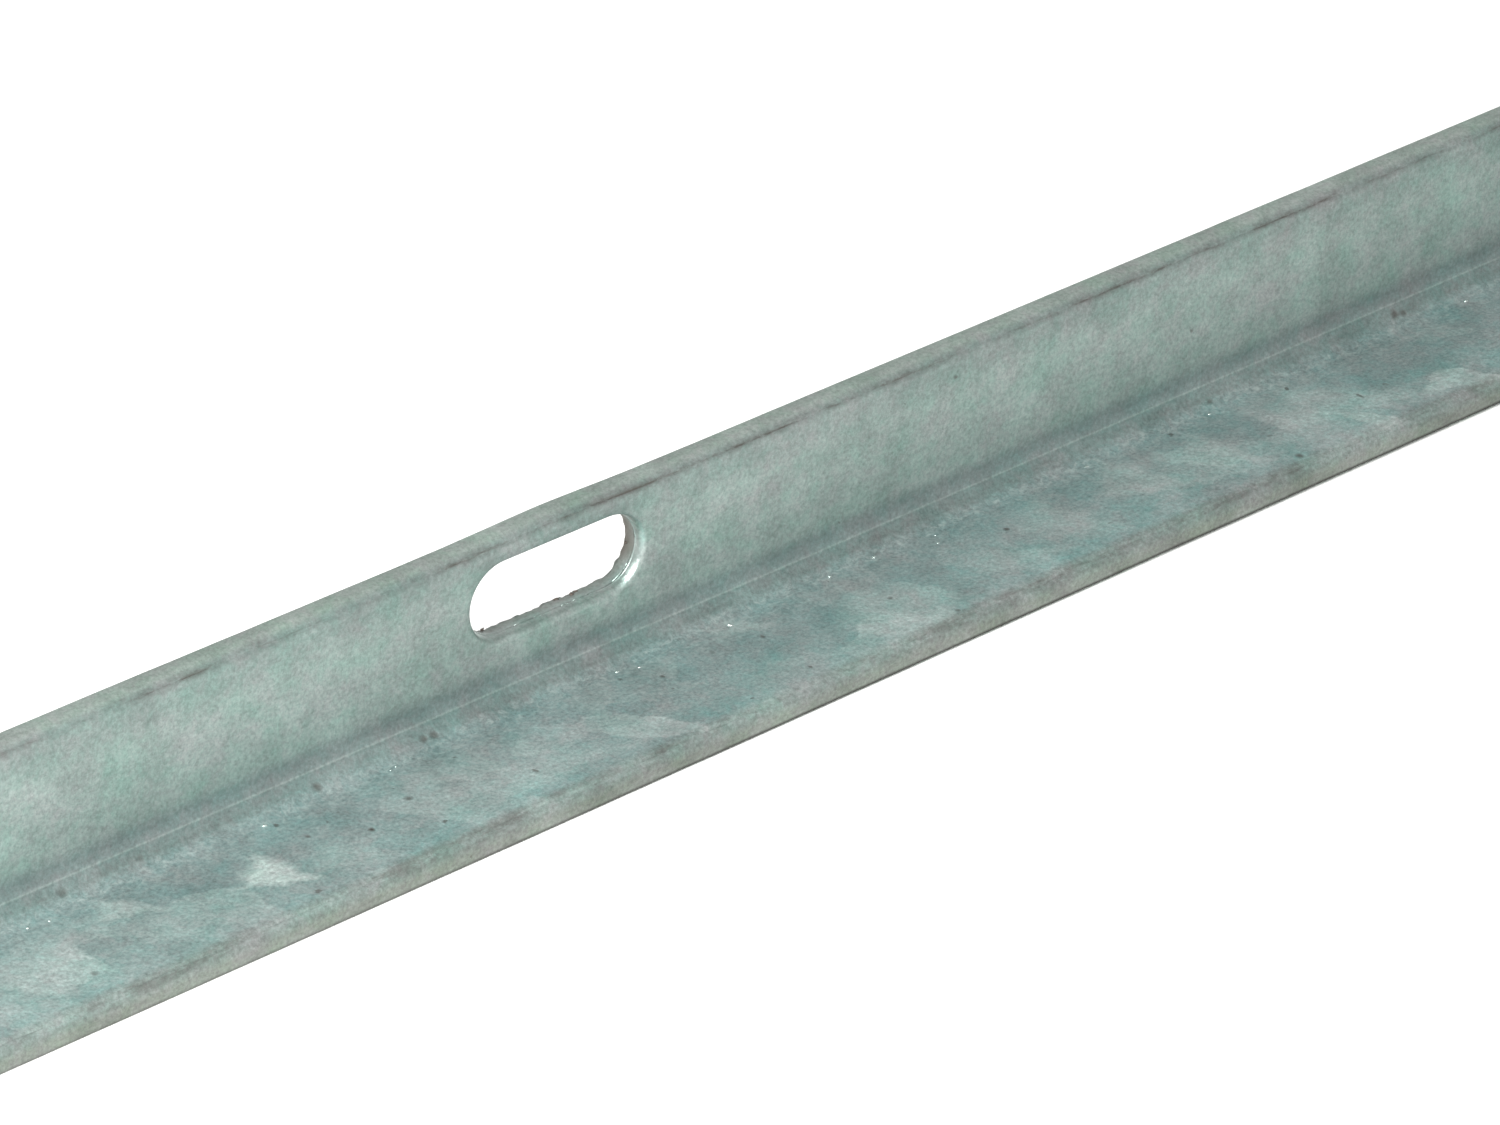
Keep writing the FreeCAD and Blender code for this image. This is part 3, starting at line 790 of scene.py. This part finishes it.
def galvanised_zinc(colours):
    """Hot-dip galvanised zinc over hot-rolled steel.

    Dipping leaves a dull, softly shining grey coat with large feathered spangle crystals where it
    froze slowly, a fine orange-peel skin, brown stains in the seams and a few pits. Its colour also
    carries painted shade in the root, high on the standing leg and round the lying leg's toe, and a
    painted shadow along the bottom edge.
    """
    material, tree, shader = new_material("galvanised_zinc")
    add = functools.partial(node, tree)
    place = add("ShaderNodeAttribute", attribute_name="unrolled").outputs["Vector"]
    parts = add("ShaderNodeSeparateXYZ", {0: place})
    around, punched = parts.outputs[1], parts.outputs[2]
    solid = add("ShaderNodeTexCoord").outputs["Object"]
    across = add("ShaderNodeMapRange", {"Value": around, "From Min": -30 * MM, "From Max": 30 * MM})

    # The unrolled place, pushed about so that no crystal has a straight border.
    warp = add("ShaderNodeTexNoise", {"Vector": place, "Scale": 1 / (5 * MM), "Detail": 3.0,
                                      "Roughness": 0.6}, noise_dimensions="2D")
    warp = add("ShaderNodeVectorMath", {0: warp.outputs["Color"], 1: (0.5, 0.5, 0.5)},
               operation="SUBTRACT")
    warp = add("ShaderNodeVectorMath", {0: warp, "Scale": 3.4 * MM}, operation="SCALE")
    warped = add("ShaderNodeVectorMath", {0: place, 1: warp}, operation="ADD")
    crystal = spangle(add, warped, across)

    # Uneven tone: bands across the leg where the zinc drained, clouds, and a grain
    # that is coarser on the lying leg.
    band_map = add("ShaderNodeMapping",
                   {"Vector": warped, "Scale": (1 / (11 * MM), 1 / (90 * MM), 0)})
    bands = add("ShaderNodeTexVoronoi", {"Vector": band_map, "Scale": 1.0, "Smoothness": 0.25},
                voronoi_dimensions="2D", feature="SMOOTH_F1")
    band = add("ShaderNodeSeparateColor", {0: bands.outputs["Color"]})
    cloud = add("ShaderNodeTexNoise", {"Vector": solid, "Scale": 1 / (6 * MM), "Detail": 5.0,
                                       "Roughness": 0.65})
    grain = add("ShaderNodeTexNoise", {"Vector": solid, "Scale": 1 / (0.6 * MM), "Detail": 4.0,
                                       "Roughness": 0.75})
    coarse = add("ShaderNodeValToRGB", {0: across}, [(at(-2), 0.80), (at(2), 1.0)])
    tone = add("ShaderNodeMapRange", {"Value": band.outputs[0], "To Min": 0.95, "To Max": 1.05})
    for noise, strength in ((cloud, 0.75), (grain, 1.45)):
        off = add("ShaderNodeMath", {0: noise, 1: 0.5}, operation="SUBTRACT")
        off = add("ShaderNodeMath", {0: off, 1: strength}, operation="MULTIPLY")
        off = add("ShaderNodeMath", {0: off, 1: coarse, 2: 1.0}, operation="MULTIPLY_ADD")
        tone = add("ShaderNodeMath", {0: tone, 1: off}, operation="MULTIPLY")
    bright = (*colours.crystal, 1)
    zinc = add("ShaderNodeMix",
               {"Factor": crystal, 6: body_colour(add, across, colours), 7: bright},
               data_type="RGBA")
    zinc = add("ShaderNodeVectorMath", {0: zinc.outputs[2], "Scale": tone}, operation="SCALE")

    # Cooler and greyer patches, down to specks.
    tint = add("ShaderNodeTexNoise", {"Vector": warped, "Scale": 1 / (9 * MM), "Detail": 6.0,
                                      "Roughness": 0.78}, noise_dimensions="2D")
    tint = add("ShaderNodeMapRange", {"Value": tint, "From Min": 0.3, "From Max": 0.7,
                                      "To Min": 0.35, "To Max": 1.65})
    zinc = add("ShaderNodeHueSaturation", {"Saturation": tint, "Color": zinc})

    # White mottling just outside the root, where flux and dross dried.
    chalk_line = add("ShaderNodeValToRGB", {0: across}, [
        (at(0.4), 0.0), (at(2.4), 0.9), (at(4.5), 0.6), (at(9.0), 0.0)])
    chalk_map = add("ShaderNodeMapping",
                    {"Vector": warped, "Scale": (1 / (1.6 * MM), 1 / (1.0 * MM), 0)})
    chalk = add("ShaderNodeTexNoise", {"Vector": chalk_map, **noise_2d(5.0, 0.7)},
                noise_dimensions="2D")
    chalk_tone = add("ShaderNodeValToRGB", {0: chalk}, [(0.48, 0.0), (0.72, 0.5)])
    chalk = add("ShaderNodeMath", {0: chalk_line, 1: chalk_tone}, operation="MULTIPLY")
    zinc = add("ShaderNodeMix", {"Factor": chalk, 6: zinc, 7: bright}, data_type="RGBA")

    stain, pit = stains(add, place, warped, across)
    coat = add("ShaderNodeMix", {"Factor": stain, 6: zinc.outputs[2], 7: (*colours.stain, 1)},
               data_type="RGBA")
    # Painted shadow: the dark of the gap under the lying leg's lifted toe, laid on its bottom edge;
    # faint before the shown slot, where the toe touches, and full beyond it.
    edge = add("ShaderNodeValToRGB", {0: across}, [(at(27.2), 0.0), (at(27.65), 1.0)])
    clear = add("ShaderNodeMapRange", {"Value": parts.outputs[0], "From Min": SHOWN_SLOT - 90 * MM,
                                       "From Max": SHOWN_SLOT + 30 * MM, "To Min": 0.35})
    edge = add("ShaderNodeMath", {0: edge, 1: clear}, operation="MULTIPLY")
    coat = add("ShaderNodeMix", {"Factor": edge, 6: coat.outputs[2], 7: (*colours.edge, 1)},
               data_type="RGBA")
    wall = add("ShaderNodeMapRange", {"Value": punched, "From Min": 0.55, "From Max": 1.0,
                                      "To Max": 0.9})
    coat = add("ShaderNodeMix", {"Factor": wall, 6: coat.outputs[2], 7: (*colours.torn, 1)},
               data_type="RGBA")

    # Orange peel, about 0.9 mm from bump to bump, with a finer grain on it.
    peel = add("ShaderNodeTexNoise", {"Vector": solid, "Scale": 1 / (0.9 * MM), "Detail": 2.0,
                                      "Roughness": 0.5})
    skin = add("ShaderNodeMath", {0: grain, 1: 0.4, 2: peel}, operation="MULTIPLY_ADD")
    skin = add("ShaderNodeMath", {0: pit, 1: -1.5, 2: skin}, operation="MULTIPLY_ADD")
    skin = add("ShaderNodeMath", {0: stain, 1: -0.15, 2: skin}, operation="MULTIPLY_ADD")
    raised = add("ShaderNodeBump", {"Height": skin, "Distance": 0.06 * MM, "Strength": 1.0})
    rim_gloss = add("ShaderNodeValToRGB", {0: punched},
                    [(0.0, 0.56), (0.12, 0.36), (0.5, 0.40), (0.8, 0.6)])
    for socket, made in (("Base Color", coat.outputs[2]), ("Roughness", rim_gloss.outputs[0]),
                         ("Normal", raised.outputs[0])):
        tree.links.new(made, shader.inputs[socket])
    shader.inputs["Metallic"].default_value = 0.85
    return material


def at(millimetres):
    """Position on a ramp that spans 30 mm each way round the section from the root."""
    return (millimetres + 30) / 60


def sawn_zinc(colours):
    """A saw cut under zinc: dull, with faint saw marks across the leg."""
    material, tree, shader = new_material("zinc_over_saw_cut")
    solid = node(tree, "ShaderNodeTexCoord").outputs["Object"]
    cut_map = node(tree, "ShaderNodeMapping",
                   {"Vector": solid, "Scale": (1, 1 / (6 * MM), 1 / (0.5 * MM)),
                                               "Rotation": (math.radians(20), 0, 0)})
    marks = node(tree, "ShaderNodeTexNoise", {"Vector": cut_map, "Scale": 1.0, "Detail": 4.0})
    tone = node(tree, "ShaderNodeMapRange", {"Value": marks, "To Min": 0.8, "To Max": 1.15})
    base = node(tree, "ShaderNodeVectorMath", {0: tuple(colours.dull), "Scale": tone},
                operation="SCALE")
    raised = node(tree, "ShaderNodeBump", {"Height": marks, "Distance": 0.06 * MM})
    tree.links.new(base.outputs[0], shader.inputs["Base Color"])
    tree.links.new(raised.outputs[0], shader.inputs["Normal"])
    shader.inputs["Metallic"].default_value = 0.85
    shader.inputs["Roughness"].default_value = 0.6
    return material


def bright_zinc(colours):
    """Small frozen drops of clean zinc, brighter and glossier than the coat."""
    material, tree, shader = new_material("bright_zinc_drop")
    solid = node(tree, "ShaderNodeTexCoord").outputs["Object"]
    mottle = node(tree, "ShaderNodeTexNoise",
                  {"Vector": solid, "Scale": 1 / (0.4 * MM), "Detail": 2.0})
    tone = node(tree, "ShaderNodeMapRange", {"Value": mottle, "To Min": 0.85, "To Max": 1.1})
    base = node(tree, "ShaderNodeVectorMath", {0: tuple(colours.crystal), "Scale": tone},
                operation="SCALE")
    tree.links.new(base.outputs[0], shader.inputs["Base Color"])
    shader.inputs["Metallic"].default_value = 0.9
    shader.inputs["Roughness"].default_value = 0.25
    return material


def torn_crumb(colours):
    """Crumbs of steel and dross left at the torn edge, dull brown-grey."""
    material, tree, shader = new_material("zinc_dross_crumb")
    solid = node(tree, "ShaderNodeTexCoord").outputs["Object"]
    mottle = node(tree, "ShaderNodeTexNoise",
                  {"Vector": solid, "Scale": 1 / (0.3 * MM), "Detail": 2.0})
    base = node(tree, "ShaderNodeValToRGB", {0: mottle},
                [(0.35, tuple(colours.stain)), (0.65, tuple(colours.torn))])
    tree.links.new(base.outputs[0], shader.inputs["Base Color"])
    shader.inputs["Metallic"].default_value = 0.6
    shader.inputs["Roughness"].default_value = 0.7
    return material


def matte_white(colours):
    """Plain matte white board: an even pale floor."""
    material, tree, shader = new_material("matte_white_board")
    solid = node(tree, "ShaderNodeTexCoord").outputs["Object"]
    mottle = node(tree, "ShaderNodeTexNoise",
                  {"Vector": solid, "Scale": 1 / (300 * MM), "Detail": 2.0})
    tone = node(tree, "ShaderNodeMapRange", {"Value": mottle, "To Min": 0.985, "To Max": 1.0})
    base = node(tree, "ShaderNodeVectorMath", {0: tuple(colours.floor), "Scale": tone},
                operation="SCALE")
    tree.links.new(base.outputs[0], shader.inputs["Base Color"])
    shader.inputs["Roughness"].default_value = 0.8
    return material


# --- Operators -----------------------------------------------------------------------


class ANGLE_OT_bar(bpy.types.Operator):
    """Make the zinc-coated bar with its punched slots"""

    bl_idname = "angle.bar"
    bl_label = "Bar"

    def execute(self, context):
        scene = context.scene
        sizes, slots, colours = scene.angle_section, scene.angle_slots, scene.angle_colours
        vertices, faces, unrolled = bar_mesh(sizes, slots)
        cut_ends = np.zeros(len(faces), np.int32)
        cut_ends[-2:] = 1
        bar = add_piece("zinc_coated_bar", vertices, faces,
                        [galvanised_zinc(colours), sawn_zinc(colours)], cut_ends,
                        smooth=cut_ends == 0)
        place = bar.data.attributes.new("unrolled", "FLOAT_VECTOR", "CORNER")
        place.data.foreach_set("vector", unrolled.ravel().astype(np.float32))
        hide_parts(NODE)
        return {"FINISHED"}


class ANGLE_OT_drops(bpy.types.Operator):
    """Make the small bright zinc drops that lie along the root"""

    bl_idname = "angle.drops"
    bl_label = "Zinc drops"

    def execute(self, context):
        sizes, colours = context.scene.angle_section, context.scene.angle_colours
        draw = np.random.default_rng(21)
        count = 80
        along = draw.uniform(LOW[0] + 5 * MM, HIGH[0] - 5 * MM, count)
        inner = HIGH[1] - sizes.thickness
        edge = inner - sizes.root_radius
        out = edge + 1.2 * MM - draw.gamma(1.5, 0.9 * MM, count)
        radius = draw.uniform(0.10, 0.34, count) * MM
        rise = sizes.root_radius - np.sqrt(sizes.root_radius ** 2 - np.clip(out - edge, 0,
                                                                            None) ** 2)
        centres = np.column_stack([along, out, sizes.thickness + rise + 0.1 * radius])
        radii = np.column_stack([radius * 1.3, radius * 1.1, radius * 0.6])
        vertices, faces = pebbles(centres, radii, 22)
        add_piece("zinc_drops", vertices, faces, [bright_zinc(colours)])
        return {"FINISHED"}


class ANGLE_OT_crumbs(bpy.types.Operator):
    """Make the crumbs left along each slot's torn lower edge"""

    bl_idname = "angle.crumbs"
    bl_label = "Slot crumbs"

    def execute(self, context):
        scene = context.scene
        slots, colours = scene.angle_slots, scene.angle_colours
        draw = np.random.default_rng(31)
        each = 6
        centres, radii = [], []
        for centre in SLOT_CENTRES:
            along = centre + draw.uniform(-0.6, 0.62, each) * (SLOT_STRAIGHT + SLOT_RADIUS)
            beyond = np.clip(abs(along - centre) - SLOT_STRAIGHT / 2, 0, SLOT_RADIUS * 0.98)
            drop = np.sqrt(SLOT_RADIUS ** 2 - beyond ** 2) + slots.breakout * 0.5
            y = HIGH[1] - draw.uniform(0.0, 0.5, each) * MM
            centres.append(np.column_stack([along, y, SLOT_LEVEL - drop]))
            size = draw.uniform(0.12, 0.34, each) * MM
            radii.append(np.column_stack([size * draw.uniform(1, 2, each), size, size * 0.8]))
        vertices, faces = pebbles(np.concatenate(centres), np.concatenate(radii), 32)
        add_piece("slot_crumbs", vertices, faces, [torn_crumb(colours)])
        return {"FINISHED"}


class ANGLE_OT_stage(bpy.types.Operator):
    """Make the floor, the light and the camera"""

    bl_idname = "angle.stage"
    bl_label = "Studio"

    def execute(self, context):
        scene = context.scene
        studio, colours = scene.angle_studio, scene.angle_colours
        half = studio.floor_size / 2
        mesh = bpy.data.meshes.new("studio_floor")
        level = LOW[2] - 0.02 * MM
        corners = [(-half, -half, level), (half, -half, level), (half, half, level),
                   (-half, half, level)]
        mesh.from_pydata(corners, [], [(0, 1, 2, 3)])
        mesh.materials.append(matte_white(colours))
        floor = bpy.data.objects.new("studio_floor", mesh)
        scene.collection.objects.link(floor)

        world = bpy.data.worlds.new("even_white")
        world.use_nodes = True
        background = world.node_tree.nodes["Background"]
        background.inputs["Color"].default_value = (1, 1, 1, 1)
        background.inputs["Strength"].default_value = studio.sky
        scene.world = world
        scene.view_settings.view_transform = "Standard"

        shown = Vector((SHOWN_SLOT, 0, 0))
        light = bpy.data.lights.new("soft_key", "AREA")
        light.shape = "DISK"
        light.size = KEY_WIDTH
        light.energy = studio.key
        key = bpy.data.objects.new("soft_key", light)
        key.location = shown + Vector(KEY_PLACE)
        aim = shown + Vector(KEY_AIM)
        key.rotation_euler = (aim - key.location).to_track_quat("-Z", "Y").to_euler()
        key.visible_camera = False
        scene.collection.objects.link(key)

        lens = bpy.data.cameras.new("camera")
        lens.lens = studio.lens
        lens.sensor_width = 36
        lens.clip_end = 500
        ahead = Vector((
            math.sin(studio.azimuth) * math.cos(studio.elevation),
            math.cos(studio.azimuth) * math.cos(studio.elevation),
            -math.sin(studio.elevation)))
        target = Vector((SHOWN_SLOT + studio.aim_along, -studio.aim_front, studio.aim_level))
        camera = bpy.data.objects.new("camera", lens)
        camera.location = target - ahead * studio.distance
        camera.rotation_mode = "QUATERNION"
        camera.rotation_quaternion = ahead.to_track_quat("-Z", "Y")
        scene.collection.objects.link(camera)
        scene.camera = camera
        return {"FINISHED"}


class ANGLE_PT_panel(bpy.types.Panel):
    """Buttons for each piece of the slotted angle"""

    bl_idname = "ANGLE_PT_panel"
    bl_label = "Slotted Angle"
    bl_space_type = "VIEW_3D"
    bl_region_type = "UI"
    bl_category = "Slotted Angle"

    def draw(self, context):
        for operator in OPERATORS:
            self.layout.operator(operator.bl_idname)


GROUPS = {
    "angle_section": SectionSizes,
    "angle_slots": SlotSizes,
    "angle_colours": ZincColours,
    "angle_studio": StudioSizes,
}
OPERATORS = (ANGLE_OT_bar, ANGLE_OT_drops, ANGLE_OT_crumbs, ANGLE_OT_stage)


def register():
    for name, group in GROUPS.items():
        bpy.utils.register_class(group)
        setattr(bpy.types.Scene, name, bpy.props.PointerProperty(type=group))
    for kind in (*OPERATORS, ANGLE_PT_panel):
        bpy.utils.register_class(kind)


def unregister():
    for kind in (ANGLE_PT_panel, *reversed(OPERATORS)):
        bpy.utils.unregister_class(kind)
    for name, group in GROUPS.items():
        delattr(bpy.types.Scene, name)
        bpy.utils.unregister_class(group)


def main():
    register()
    bpy.ops.angle.bar()
    bpy.ops.angle.drops()
    bpy.ops.angle.crumbs()
    bpy.ops.angle.stage()


if __name__ == "__main__":
    main()
